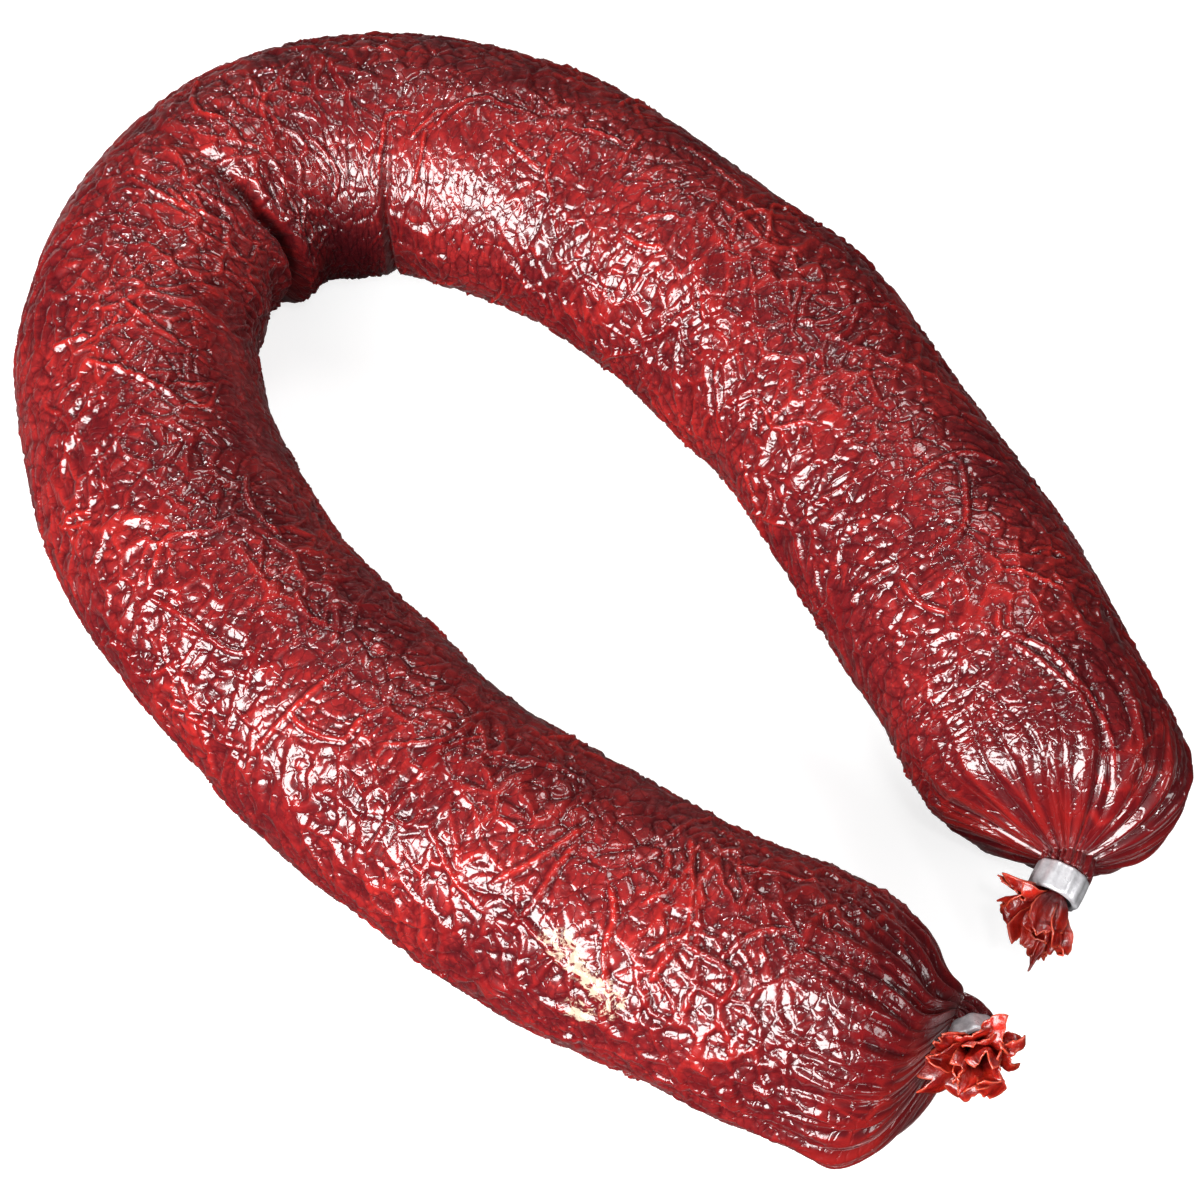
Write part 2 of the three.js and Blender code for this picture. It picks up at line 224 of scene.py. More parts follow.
def smooth_noise(s, t, size, seed):
    """Smooth noise from -1 to 1 with features of about the given size."""
    columns = max(3, round(GIRTH / size))
    rows = int(LENGTH / size) + 24
    table = np.random.default_rng(seed).uniform(-1, 1, (rows, columns))
    u = s / size + 12
    v = (t / GIRTH % 1) * columns
    i = np.clip(np.floor(u).astype(int), 0, rows - 2)
    j = np.floor(v).astype(int)
    fu, fv = u - i, v - j
    fu, fv = fu * fu * (3 - 2 * fu), fv * fv * (3 - 2 * fv)
    j0, j1 = j % columns, (j + 1) % columns
    low = table[i, j0] * (1 - fv) + table[i, j1] * fv
    high = table[i + 1, j0] * (1 - fv) + table[i + 1, j1] * fv
    return low * (1 - fu) + high * fu


def cells(s, t, along, around, seed):
    """Distance from the nearest border between irregular cells, 0 on it, about 0.5 in a cell's middle."""
    columns = max(3, round(GIRTH / around))
    rows = int(LENGTH / along) + 40
    jitter = np.random.default_rng(seed).uniform(0.0, 1.0, (rows, columns, 2))
    u = s / along + 20
    v = (t / GIRTH) * columns
    i = np.clip(np.floor(u).astype(int), 1, rows - 2)
    j = np.floor(v).astype(int)
    first = np.full(np.broadcast(s, t).shape, 9.0)
    second = np.full(first.shape, 9.0)
    for di in (-1, 0, 1):
        for dj in (-1, 0, 1):
            point = jitter[i + di, (j + dj) % columns]
            d = np.hypot(i + di + point[..., 0] - u, j + dj + point[..., 1] - v)
            closer = d < first
            second = np.where(closer, first, np.minimum(second, d))
            first = np.where(closer, d, first)
    return second - first


# Grid

def skin_grid():
    under = np.arange(UNDER_FROM, UNDER_TO, math.degrees(STEP_UNDER / RADIUS))
    top = np.arange(UNDER_TO - 360, UNDER_FROM, math.degrees(STEP_TOP / RADIUS))
    theta = np.concatenate([top, under])
    theta = np.sort((theta + 90) % 360) - 90
    stations = [0.0]
    while stations[-1] < LENGTH:
        to_end = min(stations[-1], LENGTH - stations[-1])
        stations.append(stations[-1] + STEP_ALONG * min(1, STEP_SHARE_AT_END + to_end / STEP_REACH))
    stations[-1] = float(LENGTH)
    return np.array(stations), theta


STATIONS, THETA = skin_grid()
S = STATIONS[:, None]
T = np.radians(THETA)[None, :] * RADIUS
TO_END = np.minimum(S, LENGTH - S)


def cap_swell(cap, distance):
    length, fullness, taper = cap
    left = np.clip(1 - distance / length, 0, 1)
    return (1 - left ** fullness) ** taper


def park_miller(seed):
    """The same random numbers as the solids draw."""
    state = seed
    while True:
        state = state * 16807 % 2147483647
        yield state / 2147483647


def lump_waves():
    """Uneven swelling of the meat, as in the solids."""
    draw = park_miller(LUMPS["seed"])
    total = np.zeros((len(STATIONS), len(THETA)))
    angle = np.radians(THETA)[None, :]
    for _ in range(LUMPS["count"]):
        wavelength = LUMPS["shortest"] + (LUMPS["longest"] - LUMPS["shortest"]) * next(draw)
        direction = 2 * math.pi * next(draw)
        around = round(GIRTH * math.sin(direction) / wavelength)
        phase = 2 * math.pi * next(draw)
        along = 2 * math.pi * math.cos(direction) / wavelength
        total += LUMPS["height"] * np.sin(along * S + around * angle + phase)
    return total


def base_radius():
    swell = np.minimum(cap_swell(NEAR["cap"], S), cap_swell(FAR["cap"], LENGTH - S))
    radius = NECK_RADIUS + (RADIUS - NECK_RADIUS) * swell + 0 * T
    radius = np.maximum(radius, NECK_RADIUS + GATHER)
    swelling = lump_waves()
    for station, angle, height, length, width in BULGES:
        swelling += height * bell(S - station, length) * bell(away(angle, THETA)[None, :], width)
    radius += swelling * np.clip(TO_END / SWELL_FADE, 0, 1)
    off = away(0, THETA)[None, :]
    for station, depth, width, reach in FOLDS:
        middle = station + FOLD_WANDER * smooth_noise(S * 0 + station, T, 9, 3)
        radius -= depth * bell(S - middle, width) * bell(off, reach)
    return radius


# Relief of the casing: height in millimetres, and masks for the material, one of them painted shade in
# grooves

relief = np.zeros((len(STATIONS), len(THETA)))
cord_mask = np.zeros_like(relief)
# Share of painted shade in grooves, creases, gaps between pleats and beside cords
groove_shade_mask = np.zeros_like(relief)


def window(s, t, reach):
    """Rows and columns of the grid within reach of a place, and the offsets to it."""
    i0, i1 = np.searchsorted(STATIONS, (s - reach, s + reach))
    for turn in (-GIRTH, 0, GIRTH):
        j0, j1 = np.searchsorted(T[0], (t + turn - reach, t + turn + reach))
        if j1 - j0 > 1 and i1 - i0 > 1:
            yield slice(i0, i1), slice(j0, j1), S[i0:i1] - s, T[:, j0:j1] - t - turn


def crease(s, t, direction, length, bend, width, depth):
    """A short wandering crease: a groove with a lip on one side, and painted shade in the groove."""
    c, d = math.cos(direction), math.sin(direction)
    for rows, columns, ds, dt in window(s, t, length / 2 + 2 * width):
        u = ds * c + dt * d
        v = dt * c - ds * d - bend * u * u
        taper = np.clip(1 - (2 * u / length) ** 2, 0, 1)
        w = width * (0.4 + 0.6 * taper)
        groove = np.exp(-(v / w) ** 2) * taper
        lip = np.exp(-((v - 1.7 * width) / w) ** 2) * taper
        relief[rows, columns] += depth * (0.6 * lip - groove)
        groove_shade_mask[rows, columns] = np.maximum(groove_shade_mask[rows, columns], groove * min(1, depth / 0.25))


def direction_field(s, t):
    """The way that creases run: mostly round the skin, slanting one way or the other by place."""
    slant = smooth_noise(np.array([s]), np.array([t]), 34, 51)[0]
    return math.pi / 2 + 0.9 * slant


def scatter_creases(count, lengths, widths, depths, spread):
    """Creases at random places all over the skin."""
    for _ in range(count):
        s, t = rng.uniform(0, LENGTH), rng.uniform(-math.pi / 2, 1.5 * math.pi) * RADIUS
        length, width, depth = rng.uniform(*lengths), rng.uniform(*widths), rng.uniform(*depths)
        direction = direction_field(s, t) + rng.normal(0, spread)
        crease(s, t, direction, length, rng.normal(0, 0.05), width, depth)


def spline(points):
    """Points on a smooth curve through the given ones."""
    p = np.array(points, float)
    p = np.concatenate([[2 * p[0] - p[1]], p, [2 * p[-1] - p[-2]]])
    out = []
    for a, b, c, d in zip(p, p[1:], p[2:], p[3:]):
        n = max(2, int(np.hypot(*(c - b)) / CORD_STEP))
        for k in range(n):
            x = k / n
            out.append(0.5 * (2 * b + (c - a) * x + (2 * a - 5 * b + 4 * c - d) * x * x
                              + (3 * b - a - 3 * c + d) * x ** 3))
    out.append(p[-2])
    return np.array(out)


def cord(points, width, height):
    """A raised cord of gathered casing along a curve on the unrolled skin, with a thin groove each side that
    carries painted shade.
    """
    path = spline(points)
    low, high = path.min(0) - 3 * width, path.max(0) + 3 * width
    i0, i1 = np.searchsorted(STATIONS, (low[0], high[0]))
    for turn in (-GIRTH, 0, GIRTH):
        j0, j1 = np.searchsorted(T[0], (low[1] + turn, high[1] + turn))
        if j1 - j0 < 2 or i1 - i0 < 2:
            continue
        s, t = S[i0:i1], T[:, j0:j1] - turn
        nearest = np.full((i1 - i0, j1 - j0), 99.0)
        place = np.zeros_like(nearest)
        for k, (ps, pt) in enumerate(path):
            d = np.hypot(s - ps, t - pt)
            closer = d < nearest
            nearest[closer] = d[closer]
            place[closer] = k / len(path)
        taper = np.clip(np.minimum(place, 1 - place) * 9, 0.25, 1)
        w = width * (0.55 + 0.45 * taper)
        ridge = np.exp(-(nearest / w) ** 2)
        beside = np.exp(-((nearest - 1.9 * w) / (0.6 * w)) ** 2)
        relief[i0:i1, j0:j1] += taper * (height * ridge - 0.16 * beside)
        cord_mask[i0:i1, j0:j1] = np.maximum(cord_mask[i0:i1, j0:j1], ridge * taper)
        groove_shade_mask[i0:i1, j0:j1] = np.maximum(groove_shade_mask[i0:i1, j0:j1], beside * taper)


def photo_point(px, py):
    """The place on the unrolled skin, in millimetres, that shows at a pixel of the photograph."""
    position = Vector(CAMERA_TARGET) + Vector(CAMERA_OFFSET)
    forward = -Vector(CAMERA_OFFSET).normalized()
    right = forward.cross(Vector((0, 0, 1))).normalized()
    up = right.cross(forward)
    scale = SENSOR / CAMERA_LENS / PHOTO_SIZE
    aside, down = (px - PHOTO_SIZE / 2) * scale, (py - PHOTO_SIZE / 2) * scale
    ray = (forward + right * aside - up * down).normalized()
    distance = 0.0
    for _ in range(60):
        p = position + ray * distance
        gap = np.hypot(AXIS_X - p.x, AXIS_Y - p.y)
        k = int(np.argmin(gap))
        lift = p.z - AXIS_HEIGHT
        away_from_axis = math.hypot(gap[k], lift)
        if away_from_axis < RADIUS + 0.05:
            break
        distance += max(0.02, away_from_axis - RADIUS)
    inward = np.array([math.sin(AXIS_HEADING[k]), -math.cos(AXIS_HEADING[k])])
    along = np.array([math.cos(AXIS_HEADING[k]), math.sin(AXIS_HEADING[k])])
    offset = np.array([p.x - AXIS_X[k], p.y - AXIS_Y[k]])
    theta = math.atan2(lift, offset @ inward)
    if theta < -math.pi / 2:
        theta += 2 * math.pi
    return k + offset @ along, theta * RADIUS


# Cords that show in the photograph, as pixels along each
PHOTO_CORDS = [
    [(148, 592), (156, 562), (168, 537), (212, 529), (235, 513)],
    [(148, 595), (189, 620), (230, 651), (258, 648)],
    [(249, 760), (315, 688), (358, 660)],
    [(490, 884), (540, 858), (588, 823)],
    [(430, 826), (455, 877), (487, 915)],
    [(366, 860), (387, 823), (415, 788)],
    [(505, 900), (536, 929), (570, 969)],
    [(645, 987), (651, 1012), (674, 1024)],
    [(648, 984), (665, 961), (677, 946)],
    [(680, 941), (734, 975), (717, 1010)],
    [(717, 961), (754, 935), (789, 932)],
    [(61, 452), (84, 414), (97, 383)],
    [(82, 359), (128, 373), (176, 398)],
    [(123, 298), (149, 324), (178, 347)],
    [(49, 350), (86, 333)],
    [(129, 178), (165, 195), (201, 215)],
    [(908, 482), (960, 453), (1008, 468)],
    [(960, 453), (966, 490), (962, 528), (922, 562)],
    [(810, 508), (848, 482)],
    [(899, 577), (922, 603), (951, 614)],
    [(1000, 600), (1003, 631), (1054, 654), (1094, 723)],
    [(1003, 637), (1080, 697)],
    [(1071, 672), (1102, 710), (1127, 762)],
    [(1098, 757), (1129, 773), (1162, 775)],
    [(1107, 782), (1142, 797), (1162, 779)],
]


def random_cords(count):
    """Cords at random places all over the skin. Cords where the photograph doesn't
    reach, and thin ones all over.
    """
    for _ in range(count):
        s, t = rng.uniform(25, LENGTH - 25), rng.uniform(-math.pi / 2, 1.5 * math.pi) * RADIUS
        heading = direction_field(s, t) + rng.normal(0, 0.5)
        points = [(s, t)]
        for _ in range(rng.integers(2, 5)):
            heading += rng.normal(0, 0.5)
            reach = rng.uniform(3, 6)
            s, t = s + reach * math.cos(heading), t + reach * math.sin(heading)
            points.append((s, t))
        cord(points, rng.uniform(0.32, 0.46), rng.uniform(0.25, 0.55))


def pleat(end, degrees, reach, width, height, drift):
    """A pleat from the knot up the shoulder, where it dies out; its width is that away from the knot; a
    sunken pleat carries painted shade.
    """
    distance = S if end is NEAR else LENGTH - S
    rows = distance[:, 0] < reach
    d = distance[rows]
    r = NECK_RADIUS + (RADIUS - NECK_RADIUS) * cap_swell(end["cap"], d)
    gap = np.radians(away(degrees + drift * d, THETA[None, :])) * r
    narrow = np.minimum(1, 0.3 + r / 14)
    fade = np.clip(1 - d / reach, 0, 1) ** 0.8 * np.minimum(1, 0.35 + r / 16)
    ridge = np.exp(-(gap / (width * narrow)) ** 2) * fade
    relief[rows] += height * ridge
    if height > 0:
        cord_mask[rows] = np.maximum(cord_mask[rows], 0.6 * ridge)
    else:
        groove_shade_mask[rows] = np.maximum(groove_shade_mask[rows], np.clip(1.6 * ridge, 0, 1))


def pleats(end):
    draw = np.random.default_rng(end["seed"])
    for k in range(PLEAT_COUNT):
        degrees = 360 * (k + draw.uniform(-0.25, 0.25)) / PLEAT_COUNT
        drift = draw.normal(0, 0.3)
        pleat(end, degrees, draw.uniform(14, 40), draw.uniform(0.8, 1.3), draw.uniform(0.5, 1.0), drift)
        pleat(end, degrees + draw.uniform(8, 11), draw.uniform(12, 36), draw.uniform(0.35, 0.55),
              -draw.uniform(0.8, 1.4), drift)
    for _ in range(FINE_PLEATS):
        pleat(end, draw.uniform(0, 360), draw.uniform(16, 44), draw.uniform(0.45, 0.75),
              draw.choice((-1, 1)) * draw.uniform(0.25, 0.6), draw.normal(0, 0.5))


def share_of(noise_values, low, high):
    """Smooth step of a noise, from 0 below low to 1 above high."""
    x = np.clip((noise_values - low) / (high - low), 0, 1)
    return x * x * (3 - 2 * x)


def hollow():
    """Share of the hollow between the two folds, on the inside of the bend; it smooths the relief and carries
    painted shade.
    """
    along = bell(S - HOLLOW["station"], HOLLOW["length"])
    return along * bell(away(HOLLOW["angle"], THETA)[None, :], HOLLOW["width"])


def build_relief():
    """Fill relief, cord_mask and groove_shade_mask, the painted shade in grooves; the last number of each
    noise and of each cells is its seed.
    """
    warp_s = S + 1.7 * smooth_noise(S, T, 8, 21) + 0.8 * smooth_noise(S, T, 3.2, 22)
    warp_t = T + 1.7 * smooth_noise(S, T, 8, 23) + 0.8 * smooth_noise(S, T, 3.2, 24)
    shear = 0.45 * warp_s
    veins = 2.6 * cells(warp_s + 0.4 * warp_t, warp_t, *VEIN_CELL, 31)
    seams = 1.9 * cells(warp_s, warp_t - shear, *SEAM_CELL, 32)
    pebbles = cells(warp_s, warp_t + shear * 0.4, *PEBBLE_CELL, 33)
    with_veins = 0.3 + 0.7 * share_of(smooth_noise(S, T, 17, 41), -0.5, 0.1)
    with_seams = 0.45 + 0.55 * share_of(smooth_noise(S, T, 14, 42), -0.8, -0.2)
    in_bend = bell(S - 228, 16) * bell(away(0, THETA)[None, :], 60)
    with_pebbles = np.maximum(share_of(smooth_noise(S, T, 21, 45), 0.0, 0.4), in_bend)
    vein = bell(veins, VEIN_WIDTH) * with_veins
    seam = bell(seams, SEAM_WIDTH) * with_seams
    relief[:] += VEIN_HEIGHT * vein - VEIN_MOAT * bell(veins - 0.95, 0.35) * with_veins
    relief[:] -= SEAM_DEPTH * seam
    relief[:] += PEBBLE_HEIGHT * np.clip(pebbles / 0.5, 0, 1) * with_pebbles
    for size, height, seed in UNEVEN:
        relief[:] += height * smooth_noise(S, T, size, seed)
    cord_mask[:] = 0.6 * vein
    # Painted shade in the seams and beside the veins
    groove_shade_mask[:] = np.maximum(seam, 0.7 * bell(veins - 0.9, 0.3) * with_veins)
    scatter_creases(*LONG_CREASES)
    scatter_creases(*SHORT_CREASES)
    bend = bell(S - 226, 24) * share_of(smooth_noise(S, T, 9, 46), -0.5, 0.2)
    wave = np.sin(2 * math.pi * (S + 1.6 * smooth_noise(S, T, 7, 47)) / RIPPLE_SPACING)
    ripple = bend * np.clip(wave, 0, 1) ** 4
    relief[:] -= RIPPLE_DEPTH * ripple
    # Painted shade in the ripple grooves
    groove_shade_mask[:] = np.maximum(groove_shade_mask, 0.8 * ripple)
    for pixels in PHOTO_CORDS:
        cord([photo_point(x, y) for x, y in pixels], PHOTO_CORD_WIDTH, PHOTO_CORD_HEIGHT)
    random_cords(FINE_CORDS)
    relief[:] *= share_of(TO_END, WRINKLES_FROM, WRINKLES_TO) * (1 - HOLLOW["smoother"] * hollow())
    for end in (NEAR, FAR):
        pleats(end)


def mesh_from_rings(name, rings, attributes, strip=0):
    """A skin through closed rings of points or, where strip is given, open strips of that many points."""
    rows, columns = rings.shape[:2]
    across = np.arange(columns)
    if strip:
        across = across[across % strip != strip - 1]
    i, j = np.meshgrid(np.arange(rows - 1), across, indexing="ij")
    k = (j + 1) % columns
    low, high = i * columns, (i + 1) * columns
    quads = np.stack([low + j, high + j, high + k, low + k], -1).reshape(-1, 4)
    mesh = bpy.data.meshes.new(name)
    mesh.vertices.add(rows * columns)
    mesh.vertices.foreach_set("co", (rings * MM).astype(np.float32).ravel())
    mesh.loops.add(len(quads) * 4)
    mesh.loops.foreach_set("vertex_index", quads.ravel().astype(np.int32))
    mesh.polygons.add(len(quads))
    mesh.polygons.foreach_set("loop_start", np.arange(0, len(quads) * 4, 4, dtype=np.int32))
    mesh.update(calc_edges=True)
    mesh.validate()
    mesh.shade_smooth()
    for key, values in attributes.items():
        layer = mesh.attributes.new(key, "FLOAT", "POINT")
        layer.data.foreach_set("value", values.astype(np.float32).ravel())
    piece = bpy.data.objects.new(name, mesh)
    bpy.context.scene.collection.objects.link(piece)
    return piece


def neck_rings(end, profile):
    """Rings of the neck from the meat to the middle of the clip, as wide as the band up to its rim."""
    angle = np.radians(THETA)
    rings = []
    start = clip_start(end)
    for distance in np.linspace(0.3, start + CLIP_LENGTH / 2, NECK_RINGS):
        centre, _, inward, up = knot_frame(end, distance)
        inside = np.clip((distance - start + 0.25) / 0.4, 0, 1)
        wide = NECK_RADIUS + GATHER + profile
        narrow = np.minimum(NECK_RADIUS + profile, NECK_RADIUS + 0.15)
        r = (wide * (1 - inside) + narrow * inside)[:, None]
        rings.append(np.array(centre) + r * (np.cos(angle)[:, None] * np.array(inward)
                                            + np.sin(angle)[:, None] * np.array(up)))
    return np.array(rings)


def sausage_piece():
    """The casing with its necks, and the masks and the unrolled place of each point for its material."""
    build_relief()
    radius = base_radius() + relief
    centre, inward = body_frames(STATIONS)
    angle = np.radians(THETA)
    up = np.array([0, 0, 1.0])
    body = (centre[:, None] + radius[..., None] * (np.cos(angle)[None, :, None] * inward[:, None]
                                                   + np.sin(angle)[None, :, None] * up))
    push = SAG["push"] * (1 - np.exp(-S / SAG["start"])) * bell(S, SAG["reach"])
    push = push * bell(away(SAG["angle"], THETA)[None, :], SAG["width"])
    along = np.stack([-inward[:, 1], inward[:, 0], 0 * STATIONS], 1)
    body -= push[..., None] * along[:, None]
    body[..., 2] = np.maximum(body[..., 2], 0.02)
    near, far = neck_rings(NEAR, relief[0])[::-1], neck_rings(FAR, relief[-1])
    rings = np.concatenate([near, body, far])
    pad_near, pad_far = np.ones((len(near), len(THETA))), np.ones((len(far), len(THETA)))
    cords = np.concatenate([pad_near * cord_mask[:1], cord_mask, pad_far * cord_mask[-1:]])
    # Painted shade in the grooves, carried to the material
    groove_shades = np.concatenate([pad_near * groove_shade_mask[:1], groove_shade_mask, pad_far * groove_shade_mask[-1:]])
    # Share of painted shade towards both ends
    ends = np.concatenate([pad_near, bell(TO_END, END_SHADE_REACH) + 0 * T, pad_far])
    # Share of painted shade in the hollow
    inside = np.concatenate([0 * pad_near, hollow(), 0 * pad_far])
    fat = np.concatenate([0 * pad_near, bloom(), 0 * pad_far])
    masks = dict(cord=cords, groove=groove_shades, gathered=ends, hollow=inside, bloom=fat)
    piece = mesh_from_rings("casing", rings, masks)
    before, beyond = np.linspace(-10, -0.1, len(near)), LENGTH + np.linspace(0.1, 10, len(far))
    along = np.concatenate([before, STATIONS, beyond])
    across = RADIUS * np.stack([np.cos(angle), np.sin(angle)], 1)
    place = np.concatenate([np.broadcast_to(along[:, None, None], cords.shape + (1,)),
                            np.broadcast_to(across[None], cords.shape + (2,))], 2) * MM
    layer = piece.data.attributes.new("unrolled", "FLOAT_VECTOR", "POINT")
    layer.data.foreach_set("vector", place.astype(np.float32).ravel())
    return piece


# Spots of bloom: pixel of the photograph and radius in millimetres
BLOOM_SPOTS = [
    (550, 937, 1.7), (562, 943, 2.5), (572, 954, 2.6), (581, 966, 2.2), (590, 976, 2.0), (602, 988, 2.4),
    (614, 998, 2.4), (611, 1009, 1.9), (577, 1007, 2.4), (590, 1013, 1.8), (600, 240, 0.8),
]


def bloom():
    """Share of pale bloom: one patch on the near leg, and a small spot on the far leg."""
    total = np.zeros((len(STATIONS), len(THETA)))
    for px, py, size in BLOOM_SPOTS:
        s, t = photo_point(px, py)
        d = np.hypot(S - s, T - t)
        total = np.maximum(total, np.clip(1.25 - d / size, 0, 1))
    return total


# Tails

def petal_rings(end, petal, draw):
    """One crumpled petal of a tail, as rows of points from inside the clip to its ragged edge."""
    angle, reach, along, width, curl = petal
    rows, columns = PETAL_ROWS, PETAL_COLUMNS
    part = np.linspace(0, 1, rows)[:, None]
    side = np.linspace(-1, 1, columns)[None, :]
    centre, outward, inward, up = [np.array(v) for v in knot_frame(end, tail_start(end))]
    turn = math.radians(angle)
    away_from_knot = math.cos(turn) * inward + math.sin(turn) * up
    across = -math.sin(turn) * inward + math.cos(turn) * up
    ragged = sum(draw.uniform(0.4, 1) / k * np.sin(k * 3.1 * side + draw.uniform(0, 6.28))
                 for k in (1, 2, 4, 7))
    stretch = 1 + 0.13 * ragged
    r = PETAL_ROOT + (reach - PETAL_ROOT) * part ** 1.5 * stretch
    h = -PETAL_DEPTH * (1 - part) ** 2 + along * part ** 0.8 * stretch
    grown = PETAL_START + (width - PETAL_START) * np.sin(math.pi / 2 * np.clip(part / 0.72, 0, 1))
    closing = np.sqrt(np.clip(1 - (np.clip(part - 0.7, 0, 1) / 0.36) ** 2, 0.02, 1))
    edge_noise = sum(draw.uniform(0.3, 1) / k * np.sin(k * 6.3 * part + draw.uniform(0, 6.28))
                     for k in (1, 3, 6, 11))
    w = grown * closing * (1 + 0.12 * edge_noise) * side
    folds = np.zeros((rows, columns))
    for count, height in LONG_FOLDS:
        phase = draw.uniform(0, 6.28)
        sweep = draw.uniform(-1.2, 1.2)
        folds += height * (1 - 2 * np.abs(np.sin(count * side + sweep * part + phase)))
    for count, height in CROSS_FOLDS:
        phase = draw.uniform(0, 6.28)
        slant = draw.uniform(-1, 1) * side
        folds += height * part * (1 - 2 * np.abs(np.sin(count * part * 1.6 + slant + phase)))
    folds *= 0.25 + 0.75 * part
    tilt = math.atan2(reach - PETAL_ROOT, along + PETAL_DEPTH)
    normal = math.cos(tilt) * away_from_knot - math.sin(tilt) * outward
    lift = folds + curl * side ** 2 * part * 1.6 + draw.uniform(-0.3, 0.3)
    rings = (centre + h[..., None] * outward + r[..., None] * away_from_knot
             + w[..., None] * across + lift[..., None] * normal)
    sides, tip = np.abs(side) ** 10 * np.clip(part * 3, 0, 1), np.clip(part * 12 - 11, 0, 1)
    return rings, part + 0 * side, np.maximum(sides, tip), folds


def tail_piece(end, name):
    """The ruffled film beyond a clip: petals that start together inside it."""
    draw = np.random.default_rng(end["seed"] + 4)
    parts = [petal_rings(end, petal, draw) for petal in end["petals"]]
    rings, edge, rim, folds = [np.concatenate(values, 1) for values in zip(*parts)]
    masks = dict(edge=edge, rim=rim, fold=folds)
    piece = mesh_from_rings(name, rings, masks, strip=PETAL_COLUMNS)
    thick = piece.modifiers.new("film", "SOLIDIFY")
    thick.thickness = FILM * MM
    thick.offset = 0
    return piece


# Clips

def clip_piece(end, name):
    """A crimped band: axial flats pressed round it, rounded rims."""
    angle = np.linspace(0, 2 * math.pi, CLIP_COLUMNS, endpoint=False)
    inner, outer = NECK_RADIUS + CLIP_FIT, NECK_RADIUS + CLIP_FIT + CLIP_WALL
    first = [(inner, CLIP_RIM), (inner + CLIP_ROUND, CLIP_ROUND), (inner + CLIP_RIM, 0.0),
             (outer - CLIP_RIM, 0.0), (outer - CLIP_ROUND, CLIP_ROUND), (outer, CLIP_RIM)]
    crown = [(outer + 0.05 * math.sin(math.pi * x), CLIP_LENGTH * x) for x in np.linspace(0.14, 0.86, 12)]
    last = [(r, CLIP_LENGTH - h) for r, h in reversed(first)]
    profile = first + crown + last + first[:1]
    flats = 0.13 * np.cos(10 * angle) + 0.06 * np.cos(7 * angle + end["seed"]) + 0.05 * np.cos(3 * angle)
    rings = []
    for r, h in profile:
        centre, _, inward, up = [np.array(v) for v in knot_frame(end, clip_start(end) + h)]
        share = np.clip((r - inner) / CLIP_WALL, 0, 1)
        radius = r + share * flats * (0.75 + 0.25 * math.sin(math.pi * h / CLIP_LENGTH))
        outwards = np.cos(angle)[:, None] * inward + np.sin(angle)[:, None] * up
        rings.append(centre + radius[:, None] * outwards)
    rings = np.array(rings)
    if end is FAR:
        rings = rings[:, ::-1]
    return mesh_from_rings(name, rings, {})


# Materials

def linear(r, g, b):
    """A colour of 0 to 255 as it is seen, in the linear values that the renderer wants."""
    shares = [c / 255 for c in (r, g, b)]
    return (*[c / 12.92 if c <= 0.04045 else ((c + 0.055) / 1.055) ** 2.4 for c in shares], 1)


MEAT_DARK = linear(90, 17, 21)
MEAT_RED = linear(122, 25, 26)
PATCH_DARK = linear(64, 10, 14)
PATCH_BRIGHT = linear(154, 34, 30)
FLECK = linear(190, 62, 50)
# Painted shade for grooves, creases and thin crease lines
PAINTED_CREASE_SHADE = linear(52, 3, 8)
# Painted shade for the shoulders towards both ends
PAINTED_END_SHADE = linear(66, 6, 11)
# Painted shade for the hollow between the folds
PAINTED_HOLLOW_SHADE = linear(34, 3, 6)
CORD_DARK = linear(112, 12, 14)
CORD_RED = linear(160, 30, 24)
BLOOM = linear(174, 152, 132)
FILM_DARK = linear(112, 10, 8)
FILM_RED = linear(178, 33, 16)
# Painted shade for the film's fold valleys and its root
FILM_FOLD_SHADE = linear(78, 6, 8)
FILM_ROOT_SHADE = linear(64, 5, 7)
FILM_RIM = linear(214, 92, 64)
METAL_LIGHT = linear(224, 223, 226)
METAL_DULL = linear(176, 174, 178)
WHITE = (1, 1, 1, 1)


def shade(name):
    material = bpy.data.materials.new(name)
    material.use_nodes = True
    nodes, links = material.node_tree.nodes, material.node_tree.links
    return material, nodes, links, nodes["Principled BSDF"]


def noise(nodes, links, vector, scale, detail=4.0, rough=0.55, distortion=0.0):
    node = nodes.new("ShaderNodeTexNoise")
    node.inputs["Scale"].default_value = scale
    node.inputs["Detail"].default_value = detail
    node.inputs["Roughness"].default_value = rough
    node.inputs["Distortion"].default_value = distortion
    links.new(vector, node.inputs["Vector"])
    return node.outputs["Fac"]


def voronoi(nodes, links, vector, scale, feature):
    node = nodes.new("ShaderNodeTexVoronoi")
    node.feature = feature
    node.inputs["Scale"].default_value = scale
    links.new(vector, node.inputs["Vector"])
    return node.outputs


def remap(nodes, links, value, low, high, to_low=0.0, to_high=1.0):
    node = nodes.new("ShaderNodeMapRange")
    node.clamp = True
    for key, number in (("From Min", low), ("From Max", high), ("To Min", to_low), ("To Max", to_high)):
        node.inputs[key].default_value = number
    links.new(value, node.inputs["Value"])
    return node.outputs["Result"]


def blend_colour(nodes, links, share, under, over):
    node = nodes.new("ShaderNodeMix")
    node.data_type = "RGBA"
    for key, value in (("Factor", share), ("A", under), ("B", over)):
        if isinstance(value, tuple):
            node.inputs[key].default_value = value
        else:
            links.new(value, node.inputs[key])
    return node.outputs["Result"]


def arithmetic(nodes, links, operation, a, b):
    node = nodes.new("ShaderNodeMath")
    node.operation = operation
    for socket, value in ((node.inputs[0], a), (node.inputs[1], b)):
        if isinstance(value, (int, float)):
            socket.default_value = value
        else:
            links.new(value, socket)
    return node.outputs[0]


def attribute(nodes, name):
    node = nodes.new("ShaderNodeAttribute")
    node.attribute_name = name
    return node.outputs["Fac"]


def bump(nodes, links, height, distance, strength):
    node = nodes.new("ShaderNodeBump")
    node.inputs["Distance"].default_value = distance
    node.inputs["Strength"].default_value = strength
    links.new(height, node.inputs["Height"])
    return node.outputs["Normal"]


